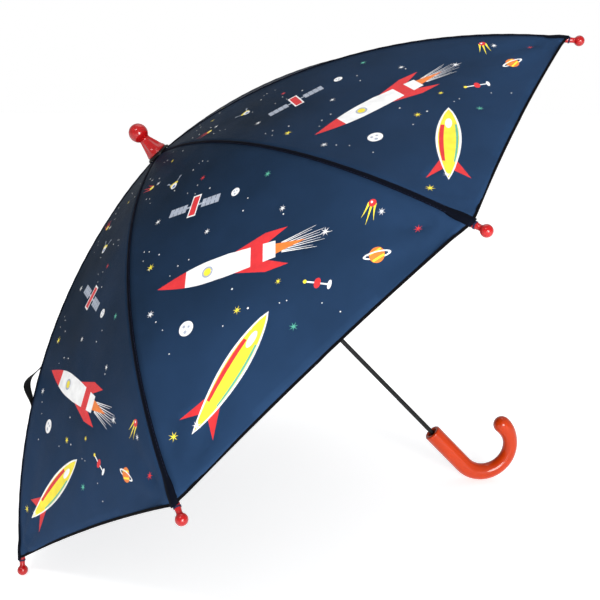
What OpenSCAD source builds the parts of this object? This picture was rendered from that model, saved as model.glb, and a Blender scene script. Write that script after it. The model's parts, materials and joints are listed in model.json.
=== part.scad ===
// Children's stick umbrella with eight ribs, drawn open.
// The origin is on the shaft's axis at the middle of the straight grip, and +Z runs up the shaft
// to the ferrule. Lengths are in millimetres and angles in degrees.

/* [Ribs] */
// Length of a rib along its curve, from its pivot to its end
rib_length = 440; // [420:5:460]
// Slope of a rib below the horizontal at its pivot
slope_at_hub = 3.4; // [2:0.2:5]
// Slope of a rib below the horizontal at its outer end
slope_at_end = 46.4; // [44:0.2:49]
// Width of a rib's channel section
rib_width = 2.6; // [2.4:0.1:2.8]
// Distance along a rib from its pivot to the stretcher's rivet
rivet_distance = 185; // [175:1:195]

/* [Shaft] */
// Height of the rib pivots above the middle of the grip
hub_height = 490.5; // [480:0.5:500]
// Outer radius of the tubular shaft
shaft_radius = 2.7; // [2.6:0.05:2.8]
// Inner radius of the tubular shaft
shaft_inner_radius = 2.1; // [2.0:0.05:2.2]

/* [Hub and runner] */
// Radius of the circle of pivots in the top notch and in the runner
pivot_circle = 8; // [7.8:0.1:8.4]
// Outer radius of the top notch and of the runner's flange
notch_radius = 11; // [10.8:0.1:11.2]
// Length of the runner's sleeve below its pivots
sleeve_length = 45; // [42:1:47]

/* [Canopy] */
// Thickness of the canopy's cloth solid
cloth_thickness = 0.5; // [0.4:0.1:0.7]
// How far the hem curves in at the middle of a panel
hem_dip = 5.5; // [0:0.5:12]

/* [Ferrule and tips] */
// Radius of the ferrule's ball
ferrule_ball = 10.35; // [9:0.05:11]
// Radius of a rib tip's ball
tip_ball = 5.1; // [4.5:0.1:5.4]

/* [Handle] */
// Length of the straight grip
grip_length = 61; // [55:1:70]
// Radius of the straight grip
grip_radius = 10.5; // [9.5:0.1:11.5]
// Radius of the hook's centreline
hook_radius = 34.5; // [30:0.5:38]
// Angle that the hook turns through
hook_turn = 186; // [170:1:200]

/* [Hidden] */

$fn = 64;
cut = 0.01;
rib_count = 8;
rib_step = 360 / rib_count;
first_rib = rib_step / 2;

// A rib is an arc of a circle in the plane through the shaft's axis.
rib_curve = rib_length / ((slope_at_end - slope_at_hub) * PI / 180);
curve_r = pivot_circle - rib_curve * sin(slope_at_hub);
curve_z = -rib_curve * cos(slope_at_hub);
rib_depth = 2;
groove_width = rib_width - 1;
groove_depth = 1.4;
tongue_thickness = 1.4;
tongue_radius = 1.4;
channel_start = 6;

// The stretcher is as long as the distance between a rib's two pivots, and its own pivots lie on
// equal circles in the notch and the runner, so the runner's fall is exactly coupled to the fold.
rivet_drop = 1.2;
rivet_slope = slope_at_hub + rivet_distance / rib_curve * 180 / PI;
rivet_r = curve_r + (rib_curve - rivet_drop) * sin(rivet_slope);
rivet_z = curve_z + (rib_curve - rivet_drop) * cos(rivet_slope);
stretcher_length = norm([rivet_r - pivot_circle, rivet_z]);
stretcher_slope = atan2(-rivet_z, rivet_r - pivot_circle);
runner_height = hub_height + 2 * rivet_z;
fold_angle = 63.5;
runner_fall = 2 * stretcher_length * sin(stretcher_slope + fold_angle) + 2 * rivet_z;

wire_radius = 0.6;
wire_hole = wire_radius + 0.08;
rivet_radius = 0.8;
rivet_hole = rivet_radius + 0.08;
rivet_boss = 1.9;
ear_gap = rib_width + 0.4;
ear_thickness = 0.7;
bar_size = 2.4;

notch_half = 3.5;
notch_core = 6.2;
slot_width = 2;
running_gap = 0.08;

cloth_low = 1.9;
cloth_high = cloth_low + cloth_thickness;
cloth_inner = 12;
seam_gap = 0.2;
hem_distance = rib_length - 9;
cloth_rows = 20;
cloth_columns = 6;

grip_top = grip_length / 2;
shaft_foot = -20;
ferrule_foot = hub_height + 5.6;
shaft_top = ferrule_foot + 18;
ferrule_ball_height = hub_height + 33.8;
mouth_radius = 6.5;
mouth_depth = 4.5;

// A catch is a spring strip inside the tube with a nose that stands out through a slot.
catch_reach = 5;
catch_arm = 22;
nose_length = 7;
strip_outer = 1.9;
strip_inner = 1.1;
catch_width = 1;
catch_slot_width = 1.6;
window_drop = 32;
window_half = 4.5;
top_catch_height = runner_height - sleeve_length - 0.4;
bottom_catch_height = runner_height - runner_fall - window_drop + 0.5;

function rib_azimuth(i) = first_rib + rib_step * (i - 1);

// A point of the canopy: a slope along the ribs, a share of the way across the panel, and a
// height above the ribs' centreline. The cloth runs straight across from rib to rib.
function canopy_point(azimuth, slope, share, height) =
    let (r = curve_r + (rib_curve + height) * sin(slope),
        z = hub_height + curve_z + (rib_curve + height) * cos(slope),
        a = azimuth - rib_step / 2,
        b = azimuth + rib_step / 2)
    [r * (cos(a) * (1 - share) + cos(b) * share), r * (sin(a) * (1 - share) + sin(b) * share), z];

// The share of a panel's width that the gap at each seam takes up at a slope.
function seam_share(slope) = seam_gap / ((curve_r + rib_curve * sin(slope)) * sin(rib_step));

// The slope at which the hem lies, which is less in the middle of a panel.
function hem_slope(share) =
    slope_at_hub + (hem_distance - hem_dip * 4 * share * (1 - share)) / rib_curve * 180 / PI;

cloth_start = asin((cloth_inner - curve_r) / rib_curve);

function panel_sheet(azimuth, height) =
    [for (j = [0:cloth_rows]) [for (c = [0:cloth_columns])
        let (across = c / cloth_columns,
            slope = cloth_start + (hem_slope(across) - cloth_start) * j / cloth_rows,
            gap = seam_share(slope))
        canopy_point(azimuth, slope, gap + (1 - 2 * gap) * across, height)]];

// A closed solid between two sheets of points with the same rows and columns.
module sheet_solid(low, high) {
    rows = len(low) - 1;
    columns = len(low[0]) - 1;
    width = columns + 1;
    layer = (rows + 1) * width;
    function halves(a, b, c, d) = [[a, b, c], [a, c, d]];
    function flat(lists) = [for (l = lists) for (x = l) x];
    tops = [for (j = [0:rows - 1]) for (c = [0:columns - 1]) let (p = layer + j * width + c)
        halves(p, p + 1, p + width + 1, p + width)];
    undersides = [for (j = [0:rows - 1]) for (c = [0:columns - 1]) let (p = j * width + c)
        halves(p, p + width, p + width + 1, p + 1)];
    sides = [for (j = [0:rows - 1]) let (p = j * width, q = p + columns) each [
        halves(p, layer + p, layer + p + width, p + width),
        halves(q, q + width, layer + q + width, layer + q)]];
    ends = [for (c = [0:columns - 1]) let (p = c, q = rows * width + c) each [
        halves(p, p + 1, layer + p + 1, layer + p),
        halves(q, layer + q, layer + q + 1, q + 1)]];
    polyhedron(points = concat(flat(low), flat(high)),
        faces = flat(concat(tops, undersides, sides, ends)));
}

// Places its children in the plane of a rib, with x outwards from the shaft's axis.
module in_rib_plane(i) {
    rotate([0, 0, rib_azimuth(i)]) children();
}

module across(radius, width) {
    rotate([90, 0, 0]) cylinder(r = radius, h = width, center = true);
}

// A tube round the z axis.
module tube(outer, inner, low, high) {
    translate([0, 0, low]) difference() {
        cylinder(r = outer, h = high - low);
        translate([0, 0, -cut]) cylinder(r = inner, h = high - low + 2 * cut);
    }
}

// The slotted disc that a ring of pivots sits in, at z = 0.
module slotted_disc(bore) {
    difference() {
        tube(notch_radius, bore, -notch_half, notch_half);
        for (i = [1:rib_count]) in_rib_plane(i) translate([notch_core, -slot_width / 2, -notch_half - 1])
            cube([notch_radius, slot_width, 2 * notch_half + 2]);
        rotate_extrude() translate([pivot_circle, 0]) circle(r = wire_radius);
    }
}

module wire_ring() {
    rotate_extrude() translate([pivot_circle, 0]) circle(r = wire_radius);
}

module shaft() {
    color("#2a2a2c") difference() {
        tube(shaft_radius, shaft_inner_radius, shaft_foot, shaft_top);
        for (z = [top_catch_height, bottom_catch_height])
            translate([-2 * shaft_radius, -catch_slot_width / 2, z - nose_length - 1])
                cube([2 * shaft_radius, catch_slot_width, nose_length + 2.5]);
    }
}

// Radius of the hook's section at a turn: it narrows along the leg and ends in a bulb.
function hook_section(turn) =
    let (narrow = min(1, turn / 140), swell = max(0, (turn - 140) / (hook_turn - 140)))
    grip_radius - 0.05 - 1.7 * narrow * narrow * (3 - 2 * narrow) + 1.0 * swell * swell * (3 - 2 * swell);

// The stations of the hook: x, z, the turn so far and the section's radius.
hook_end = [hook_radius - hook_radius * cos(hook_turn), -grip_top - hook_radius * sin(hook_turn)];
hook_stations = concat([[0, -grip_top + 6, 0, grip_radius - 0.2]],
    [for (k = [0:20]) let (turn = hook_turn * k / 20)
        [hook_radius * (1 - cos(turn)), -grip_top - hook_radius * sin(turn), turn, hook_section(turn)]],
    [for (g = [20:20:80]) let (bulb = hook_section(hook_turn))
        [hook_end[0] + bulb * sin(g) * sin(hook_turn), hook_end[1] - bulb * sin(g) * cos(hook_turn),
            hook_turn, bulb * cos(g)]]);
hook_sides = 20;

module hook() {
    rings = [for (s = hook_stations) for (k = [0:hook_sides - 1]) let (w = 360 * k / hook_sides)
        [s[0] + s[3] * cos(w) * cos(s[2]), s[3] * sin(w), s[1] + s[3] * cos(w) * sin(s[2])]];
    last = len(hook_stations) - 1;
    walls = [for (j = [0:last - 1]) for (k = [0:hook_sides - 1])
        let (a = j * hook_sides + k, b = j * hook_sides + (k + 1) % hook_sides)
        each [[a, b, b + hook_sides], [a, b + hook_sides, a + hook_sides]]];
    mouth = [for (k = [0:hook_sides - 1]) hook_sides - 1 - k];
    end = [for (k = [0:hook_sides - 1]) last * hook_sides + k];
    polyhedron(points = rings, faces = concat(walls, [mouth], [end]));
}

module handle() {
    edge = 2;
    color("#d8401c") difference() {
        union() {
            rotate_extrude() {
                translate([0, -grip_top]) square([grip_radius, grip_length - edge]);
                translate([0, -grip_top]) square([grip_radius - edge, grip_length]);
                intersection() {
                    translate([grip_radius - edge, grip_top - edge]) circle(r = edge);
                    translate([0, grip_top - 2 * edge]) square([grip_radius + edge, 2 * edge]);
                }
            }
            hook();
        }
        translate([0, 0, shaft_foot]) cylinder(r = shaft_radius, h = grip_length);
        translate([0, 0, grip_top - mouth_depth]) cylinder(r = mouth_radius, h = mouth_depth + 1);
    }
}

module ferrule() {
    neck = ferrule_ball_height - ferrule_foot;
    color("#c41a20") translate([0, 0, ferrule_foot]) difference() {
        union() {
            rotate_extrude() polygon([[0, 0], [12, 0], [12, 2], [9.8, 9], [7.5, 15],
                [6, neck - 9], [6, neck], [0, neck]]);
            translate([0, 0, neck]) sphere(r = ferrule_ball);
        }
        translate([0, 0, -1]) cylinder(r = shaft_radius, h = shaft_top - ferrule_foot + 1);
    }
}

module crown_washer() {
    color("#1c1c1f") translate([0, 0, hub_height]) difference() {
        rotate_extrude() polygon([[0, 2.6], [14.5, 2.6], [14.5, 4], [12.5, 5.6], [0, 5.6]]);
        translate([0, 0, 1]) cylinder(r = 13, h = 2.7);
        cylinder(r = shaft_radius, h = 20);
    }
}

module top_notch() {
    color("#222225") translate([0, 0, hub_height]) slotted_disc(shaft_radius);
}

module notch_wire() {
    color("silver") translate([0, 0, hub_height]) wire_ring();
}

module runner_stop() {
    foot = runner_height + notch_half + 1;
    color("#3a3a3c") tube(shaft_radius + 1.2, shaft_radius, foot, foot + 3);
}

// A catch whose nose spans nose_length below z = 0, with its flat face above or below.
module spring_catch(flat_above) {
    slant = 1.2;
    color("#b0b0b4") {
        translate([-strip_outer, -catch_width / 2, -catch_arm])
            cube([strip_outer - strip_inner, catch_width, catch_arm + 0.8]);
        rotate([90, 0, 0]) linear_extrude(height = catch_width, center = true)
            polygon([[-strip_outer, 0], [-catch_reach, flat_above ? 0 : slant - nose_length],
                [-catch_reach, flat_above ? -slant : -nose_length], [-strip_outer, -nose_length]]);
    }
}

module top_catch() {
    translate([0, 0, top_catch_height]) spring_catch(true);
}

module bottom_catch() {
    translate([0, 0, bottom_catch_height]) spring_catch(false);
}

module runner() {
    bore = shaft_radius + running_gap;
    color("#242427") translate([0, 0, runner_height]) difference() {
        union() {
            slotted_disc(bore);
            tube(6, bore, -sleeve_length, -notch_half);
            tube(7.2, bore, -sleeve_length, 3.5 - sleeve_length);
            tube(8.2, bore, -notch_half - 3, -notch_half);
        }
        translate([-notch_radius, -1.4, -window_drop - window_half])
            cube([notch_radius, 2.8, 2 * window_half]);
    }
}

module runner_wire() {
    color("silver") translate([0, 0, runner_height]) wire_ring();
}

// The channel of a rib between two distances along it.
module rib_channel(from, to) {
    start = slope_at_hub + from / rib_curve * 180 / PI;
    end = slope_at_hub + to / rib_curve * 180 / PI;
    translate([curve_r, 0, hub_height + curve_z]) rotate([90, 0, 0]) rotate([0, 0, 90 - end])
        rotate_extrude(angle = end - start, $fn = 720) translate([rib_curve, 0]) difference() {
            square([rib_depth, rib_width], center = true);
            translate([-rib_depth / 2 - cut, -groove_width / 2]) square([groove_depth + cut, groove_width]);
        }
}

module rib(i) {
    color("#303033") in_rib_plane(i) difference() {
        union() {
            rib_channel(channel_start, rib_length);
            translate([pivot_circle, 0, hub_height]) rotate([0, slope_at_hub, 0]) {
                across(tongue_radius, tongue_thickness);
                translate([0, -tongue_thickness / 2, -0.9])
                    cube([channel_start + 4, tongue_thickness, 1.8]);
            }
            translate([rivet_r, 0, hub_height + rivet_z]) across(rivet_boss, rib_width);
        }
        translate([pivot_circle, 0, hub_height]) across(wire_hole, rib_width + 1);
        translate([rivet_r, 0, hub_height + rivet_z]) across(rivet_hole, rib_width + 1);
    }
}

module tip(i) {
    socket = 8;
    ball_reach = 13;
    end_r = curve_r + rib_curve * sin(slope_at_end);
    end_z = hub_height + curve_z + rib_curve * cos(slope_at_end);
    color("#c41a20") in_rib_plane(i) translate([end_r, 0, end_z]) rotate([0, 90 + slope_at_end, 0]) {
        rotate_extrude() polygon([[1.74, -socket], [2.9, -socket], [2.9, 3], [2.3, ball_reach - 4],
            [0, ball_reach - 4], [0, 0], [1.74, 0]]);
        translate([0, 0, ball_reach]) sphere(r = tip_ball);
    }
}

module at_stretcher(i) {
    in_rib_plane(i) translate([pivot_circle, 0, runner_height]) rotate([0, -stretcher_slope, 0]) children();
}

module stretcher(i) {
    bridge = stretcher_length - 14;
    outside = ear_gap + 2 * ear_thickness;
    color("#38383b") at_stretcher(i) difference() {
        union() {
            across(tongue_radius, tongue_thickness);
            translate([0, -tongue_thickness / 2, -0.9]) cube([9, tongue_thickness, 1.8]);
            translate([7, -bar_size / 2, -bar_size / 2]) cube([bridge - 6, bar_size, bar_size]);
            translate([bridge, -outside / 2, -bar_size / 2]) cube([3, outside, bar_size]);
            for (side = [-1, 1]) translate([0, side * (ear_gap + ear_thickness) / 2, 0]) {
                translate([bridge, -ear_thickness / 2, -bar_size / 2]) cube([14, ear_thickness, bar_size]);
                translate([stretcher_length, 0, 0]) across(1.8, ear_thickness);
            }
        }
        across(wire_hole, bar_size);
        translate([stretcher_length, 0, 0]) across(rivet_radius, outside + 1);
    }
}

module rib_pin(i) {
    outside = ear_gap + 2 * ear_thickness;
    color("silver") at_stretcher(i) translate([stretcher_length, 0, 0]) {
        across(rivet_radius, outside);
        for (side = [-1, 1]) translate([0, side * (outside / 2 + 0.25), 0]) across(1.4, 0.5);
    }
}

module panel(i) {
    azimuth = rib_step * i;
    color("#252a4e") sheet_solid(panel_sheet(azimuth, cloth_low), panel_sheet(azimuth, cloth_high));
}

// The strap is sewn down at both ends and stands off the canopy in a loop between them.
strap_panel = 4;
strap_start = 28;
strap_end = 32.5;
strap_share = [0.90, 0.97];
strap_thickness = 0.8;
strap_rise = 10;

function strap_sheet(height) =
    [for (j = [0:12]) let (rise = strap_rise * pow(sin(15 * j), 2)) [for (c = [0:1])
        canopy_point(rib_step * strap_panel, strap_start + (strap_end - strap_start) * j / 12,
            strap_share[c], cloth_high + height + rise)]];

module closure_strap() {
    color("#151517") sheet_solid(strap_sheet(0), strap_sheet(strap_thickness));
}

// The patch of loop fastener that the strap's end closes on.
module strap_patch() {
    function patch_sheet(height) = [for (slope = [strap_end + 0.4, strap_end + 1.4, strap_end + 2.4])
        [for (share = strap_share)
            canopy_point(rib_step * strap_panel, slope, share, cloth_high + height)]];
    color("#0f0f10") sheet_solid(patch_sheet(0), patch_sheet(1.2));
}

shaft();
handle();
ferrule();
crown_washer();
top_notch();
notch_wire();
runner_stop();
top_catch();
bottom_catch();
runner();
runner_wire();
for (i = [1:rib_count]) {
    rib(i);
    tip(i);
    stretcher(i);
    rib_pin(i);
    panel(i);
}
closure_strap();
strap_patch();
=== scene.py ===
import json
import math
import random

import bmesh
import bpy
from mathutils import Matrix, Vector
from mathutils.geometry import delaunay_2d_cdt


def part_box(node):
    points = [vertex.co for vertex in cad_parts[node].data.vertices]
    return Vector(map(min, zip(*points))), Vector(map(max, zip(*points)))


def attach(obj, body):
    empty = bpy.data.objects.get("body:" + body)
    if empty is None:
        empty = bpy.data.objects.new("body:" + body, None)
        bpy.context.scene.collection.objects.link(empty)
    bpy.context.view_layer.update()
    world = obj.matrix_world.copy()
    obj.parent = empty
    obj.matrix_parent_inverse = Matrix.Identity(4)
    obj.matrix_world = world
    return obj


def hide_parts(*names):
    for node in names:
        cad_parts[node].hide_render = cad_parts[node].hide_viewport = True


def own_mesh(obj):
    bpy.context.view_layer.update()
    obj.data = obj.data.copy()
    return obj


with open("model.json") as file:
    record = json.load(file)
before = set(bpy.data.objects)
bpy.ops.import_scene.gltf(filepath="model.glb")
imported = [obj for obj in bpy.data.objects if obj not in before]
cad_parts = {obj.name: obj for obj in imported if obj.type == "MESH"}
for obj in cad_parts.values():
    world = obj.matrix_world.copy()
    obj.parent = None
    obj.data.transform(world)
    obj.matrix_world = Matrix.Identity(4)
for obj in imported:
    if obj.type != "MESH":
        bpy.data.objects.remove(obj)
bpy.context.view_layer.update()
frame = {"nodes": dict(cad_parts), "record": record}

MM = 0.001
random.seed(7)

# ---------------------------------------------------------------- what the frame says
JOINTS = {j["name"]: j for j in frame["record"]["behaviour"]["joints"]}
PANELS = range(1, 9)
RIB_STEP = 45.0
FOLD_JOINT = "rib_1_hinge"
HUB = Vector(JOINTS[FOLD_JOINT]["pos_m"])
PIVOT_CIRCLE = math.hypot(HUB.x, HUB.y)
HUB_Z = HUB.z
HANDLE_LOW, HANDLE_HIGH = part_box("handle")

# The ribs' curve, as in the CAD model: an arc with these slopes at its two ends.
RIB_LENGTH = 0.440
SLOPE_HUB = math.radians(3.4)
SLOPE_END = math.radians(46.4)
CURVE = RIB_LENGTH / (SLOPE_END - SLOPE_HUB)
CURVE_R = PIVOT_CIRCLE - CURVE * math.sin(SLOPE_HUB)
CURVE_Z = HUB_Z - CURVE * math.cos(SLOPE_HUB)
HALF_STEP = math.radians(RIB_STEP / 2)

# The cloth's two faces above the ribs' curve, its two ends along the ribs, and how far the hem curves in.
CLOTH_LOW = 1.95 * MM
CLOTH_HIGH = 2.35 * MM
CLOTH_START = 0.0045
HEM_DISTANCE = 0.4415
HEM_DIP = 0.0055

# The cloth's soft shapes.
TIP_RISE = 1.2 * MM
TIP_RISE_START = 0.4235
TIP_RISE_RUN = 0.009
TIP_RISE_WIDTH = 0.006
PULL = 2.4 * MM
PULLS_PER_RADIAN = 12
PULL_REACH = 0.085
PULL_START = 0.02
PULL_EDGE = 0.014
RIPPLE = 0.28 * MM
RIPPLES_PER_METRE = 520
RIPPLE_REACH = 0.006
SAG = 2.4 * MM

# Sizes that more than one piece needs. HOOK_HALF is half the hook's thickness where it rests.
TIP_BALL = 5.1 * MM
TIP_REACH = 13 * MM
HOOK_RADIUS = 34.5 * MM
HOOK_HALF = 10.2 * MM
NEAR_AXIS = 0.001 * MM
SQUARE = ((-1, -1), (1, -1), (1, 1), (-1, 1))


def clamp(share):
    return max(0.0, min(1.0, share))


def smooth_step(share):
    """0 to 1 with a level start and end."""
    share = clamp(share)
    return share * share * (3 - 2 * share)


def rib_azimuth(i):
    return math.radians(RIB_STEP / 2 + RIB_STEP * (i - 1))


def rib_radius(s, height=0.0):
    return CURVE_R + (CURVE + height) * math.sin(SLOPE_HUB + s / CURVE)


def rib_z(s, height=0.0):
    return CURVE_Z + (CURVE + height) * math.cos(SLOPE_HUB + s / CURVE)


def half_width(s):
    """Half of a panel's width at a distance along its ribs."""
    return rib_radius(s) * math.sin(HALF_STEP)


def hem(lateral):
    """Distance of the hem from the hub where it is lateral from the panel's middle."""
    share = lateral / half_width(HEM_DISTANCE)
    return HEM_DISTANCE - HEM_DIP * max(0.0, 1 - share * share)


def canopy_point(i, lateral, s, height):
    """A point on panel i: lateral from its middle line, s along it and height above the ribs."""
    r = rib_radius(s, height) * math.cos(HALF_STEP)
    mid = math.radians(RIB_STEP * i)
    return Vector((r * math.cos(mid) - lateral * math.sin(mid),
                   r * math.sin(mid) + lateral * math.cos(mid), rib_z(s, height)))


def tip_lift(s, edge):
    """Height that the cloth gains where its corner passes over a tip's neck."""
    rise = smooth_step((s - TIP_RISE_START) / TIP_RISE_RUN)
    return TIP_RISE * rise * math.exp(-(edge / TIP_RISE_WIDTH) ** 2)


def relief(lateral, s):
    """Height of the cloth's soft shapes: pulls from the nearer tip, ripples by the seam, and the sag."""
    half = half_width(s)
    edge = half - abs(lateral)
    along = s / HEM_DISTANCE
    side = 1 if lateral > 0 else -1
    tip_gap = side * half_width(HEM_DISTANCE) - lateral
    away = math.hypot(tip_gap, HEM_DISTANCE - s)
    angle = math.atan2(HEM_DISTANCE - s, abs(tip_gap) + 1e-6)
    pull = PULL * math.sin(angle * PULLS_PER_RADIAN + side) * math.exp(-away / PULL_REACH)
    pull *= min(1, away / PULL_START) * min(1, edge / PULL_EDGE)
    ripple = RIPPLE * math.sin(s * RIPPLES_PER_METRE + 1.7 * side) * math.exp(-edge / RIPPLE_REACH)
    ripple *= min(1, along * 3)
    sag = SAG * (1 - (lateral / half) ** 2) * along
    return (pull + ripple - sag) * min(1, edge / 0.004 + 0.15) + tip_lift(s, edge)


# ---------------------------------------------------------------- node materials
def node(tree, kind, **inputs):
    n = tree.nodes.new(kind)
    for key, value in inputs.items():
        n.inputs[key.replace("_", " ")].default_value = value
    return n


def material(name, colour, roughness, **sockets):
    """A principled material and its tree, with constant values on the shader's own sockets."""
    m = bpy.data.materials.new(name)
    m.use_nodes = True
    bsdf = m.node_tree.nodes["Principled BSDF"]
    bsdf.inputs["Base Color"].default_value = (*colour, 1)
    bsdf.inputs["Roughness"].default_value = roughness
    for key, value in sockets.items():
        bsdf.inputs[key.replace("_", " ")].default_value = value
    return m, m.node_tree, bsdf


def maths(tree, operation, *terms, clamped=False):
    """A maths node's result. A term is a number, or the socket that feeds it."""
    n = tree.nodes.new("ShaderNodeMath")
    n.operation = operation
    n.use_clamp = clamped
    for socket, term in zip(n.inputs, terms):
        if isinstance(term, (int, float)):
            socket.default_value = term
        else:
            tree.links.new(term, socket)
    return n.outputs["Value"]


def object_place(tree):
    """The object's own coordinates."""
    coord = tree.nodes.get("Texture Coordinate") or tree.nodes.new("ShaderNodeTexCoord")
    return coord.outputs["Object"]


def object_noise(tree, scale, **inputs):
    noise = node(tree, "ShaderNodeTexNoise", Scale=scale, **inputs)
    tree.links.new(object_place(tree), noise.inputs["Vector"])
    return noise.outputs["Fac"]


def tint(tree, bsdf, share, colours, positions=(0.0, 1.0)):
    """Runs the base colour from one colour to the other as the share passes the two positions."""
    ramp = tree.nodes.new("ShaderNodeValToRGB")
    for element, colour, position in zip(ramp.color_ramp.elements, colours, positions):
        element.position = position
        element.color = (*colour, 1)
    tree.links.new(share, ramp.inputs["Fac"])
    tree.links.new(ramp.outputs["Color"], bsdf.inputs["Base Color"])


def vary_colour(tree, bsdf, dark, light, scale):
    """Mixes two tints of the base colour with noise."""
    tint(tree, bsdf, object_noise(tree, scale, Detail=4.0), (dark, light), (0.35, 0.68))


def vary_roughness(tree, bsdf, low, high, scale):
    span = node(tree, "ShaderNodeMapRange", To_Min=low, To_Max=high)
    tree.links.new(object_noise(tree, scale, Detail=6.0), span.inputs["Value"])
    tree.links.new(span.outputs["Result"], bsdf.inputs["Roughness"])


def add_bump(tree, bsdf, height, strength, distance):
    bump = node(tree, "ShaderNodeBump", Strength=strength, Distance=distance)
    tree.links.new(height, bump.inputs["Height"])
    tree.links.new(bump.outputs["Normal"], bsdf.inputs["Normal"])


def weave_height(tree, pitch=0.7 * MM):
    """A plain weave: two crossed sine waves in the cloth's own flat coordinates."""
    uv = tree.nodes.new("ShaderNodeUVMap")
    uv.uv_map = "cloth"
    split = tree.nodes.new("ShaderNodeSeparateXYZ")
    tree.links.new(uv.outputs["UV"], split.inputs["Vector"])
    waves = [maths(tree, "SINE", maths(tree, "MULTIPLY", split.outputs[axis], 2 * math.pi / pitch))
             for axis in ("X", "Y")]
    return maths(tree, "MULTIPLY", *waves)


# How far the random mottling shifts the cloth between its painted light tint and its painted shade tint.
MOTTLE = 1.1


def cloth_material(name, crown_painted_shade, hem_painted_light, roughness, sheen):
    """Woven cloth with painted shade that darkens it towards the crown and painted light that brightens it
    towards the hem, with small random mottling.
    """
    m, tree, bsdf = material(name, hem_painted_light, roughness, Sheen_Weight=sheen, Sheen_Roughness=0.35,
                             Specular_IOR_Level=0.012)
    split = tree.nodes.new("ShaderNodeSeparateXYZ")
    tree.links.new(object_place(tree), split.inputs["Vector"])
    # Painted light and shade: the tint runs from the lit hem colour up to the shaded crown colour.
    painted_shade_climb = node(tree, "ShaderNodeMapRange", From_Min=rib_z(HEM_DISTANCE), From_Max=HUB_Z)
    tree.links.new(split.outputs["Z"], painted_shade_climb.inputs["Value"])
    noise = object_noise(tree, 9.0, Detail=5.0, Roughness=0.6)
    mottle = maths(tree, "MULTIPLY_ADD", noise, MOTTLE, -MOTTLE / 2)
    share = maths(tree, "ADD", painted_shade_climb.outputs["Result"], mottle, clamped=True)
    tint(tree, bsdf, share, (hem_painted_light, crown_painted_shade))
    vary_roughness(tree, bsdf, roughness - 0.08, roughness + 0.1, 30.0)
    add_bump(tree, bsdf, weave_height(tree), 0.35, 0.1 * MM)
    return m


def print_material(name, colour):
    """Ink printed on the weave, a little uneven in its colour."""
    m, tree, bsdf = material(name, colour, 0.5, Specular_IOR_Level=0.08)
    vary_colour(tree, bsdf, tuple(c * 0.86 for c in colour), colour, 120.0)
    vary_roughness(tree, bsdf, 0.42, 0.58, 60.0)
    add_bump(tree, bsdf, weave_height(tree), 0.3, 0.1 * MM)
    return m


def plastic_material(name, colour, roughness, coat):
    """Moulded plastic with a fine grain under its gloss."""
    m, tree, bsdf = material(name, colour, roughness, Coat_Weight=coat, Coat_Roughness=0.05,
                             Specular_IOR_Level=0.1)
    vary_colour(tree, bsdf, tuple(c * 0.88 for c in colour), colour, 18.0)
    vary_roughness(tree, bsdf, roughness * 0.8, roughness * 1.3, 90.0)
    add_bump(tree, bsdf, object_noise(tree, 900.0, Detail=2.0), 0.25, 0.02 * MM)
    return m


def metal_material(name, colour, roughness, metallic):
    """Enamelled or bare steel with fine scratches and slightly worn spots."""
    m, tree, bsdf = material(name, colour, roughness, Metallic=metallic, Coat_Weight=0.1,
                             Specular_IOR_Level=0.15)
    vary_colour(tree, bsdf, colour, tuple(min(1, c * 1.25 + 0.004) for c in colour), 60.0)
    vary_roughness(tree, bsdf, roughness * 0.75, roughness * 1.35, 200.0)
    add_bump(tree, bsdf, object_noise(tree, 1400.0, Detail=3.0), 0.2, 0.01 * MM)
    return m


# Painted light and shade, not the cloth's own colour: lighter at the hem, darker at the crown.
NAVY_CROWN_PAINTED_SHADE = (0.0060, 0.0135, 0.0265)
NAVY_HEM_PAINTED_LIGHT = (0.0150, 0.0370, 0.0860)
CLOTH = cloth_material("navy_cloth", NAVY_CROWN_PAINTED_SHADE, NAVY_HEM_PAINTED_LIGHT, 0.5, 0.0)
# The inside, the seam, the binding and the webbing are likewise painted darker at the crown and lighter at
# the hem.
LINING = cloth_material("navy_cloth_inside", (0.004, 0.008, 0.018), (0.008, 0.019, 0.044), 0.6, 0.02)
# Painted shade: the seam cloth is near-black to stand for the shade along each rib and at the tips.
SEAM_PAINTED_SHADE = cloth_material("navy_seam_painted_shade", (0.002, 0.0025, 0.005), (0.003, 0.004, 0.008), 0.62, 0.0)
BINDING = cloth_material("black_binding", (0.003, 0.003, 0.004), (0.004, 0.004, 0.005), 0.65, 0.0)
WEBBING = cloth_material("black_webbing", (0.008, 0.008, 0.009), (0.010, 0.010, 0.011), 0.7, 0.05)
THREAD = plastic_material("navy_thread", (0.015, 0.018, 0.05), 0.55, coat=0.0)
INKS = {
    "red": print_material("ink_red", (0.62, 0.035, 0.04)),
    "white": print_material("ink_white", (0.80, 0.80, 0.80)),
    "yellow": print_material("ink_yellow", (0.82, 0.68, 0.05)),
    "grey": print_material("ink_grey", (0.36, 0.40, 0.48)),
    "green": print_material("ink_green", (0.10, 0.42, 0.30)),
    "blue": print_material("ink_blue", (0.06, 0.16, 0.42)),
    "orange": print_material("ink_orange", (0.75, 0.20, 0.04)),
}
RED_PLASTIC = plastic_material("red_plastic", (0.34, 0.004, 0.005), 0.3, coat=0.7)
HANDLE_PLASTIC = plastic_material("handle_plastic", (0.46, 0.034, 0.002), 0.32, coat=0.5)
BLACK_PLASTIC = plastic_material("black_plastic", (0.006, 0.006, 0.007), 0.4, coat=0.05)
ENAMEL = metal_material("black_enamel", (0.004, 0.004, 0.0045), 0.25, 0.0)
RIB_STEEL = metal_material("rib_steel", (0.03, 0.03, 0.032), 0.35, 0.6)
BRIGHT_STEEL = metal_material("bright_steel", (0.55, 0.55, 0.57), 0.28, 1.0)


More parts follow.
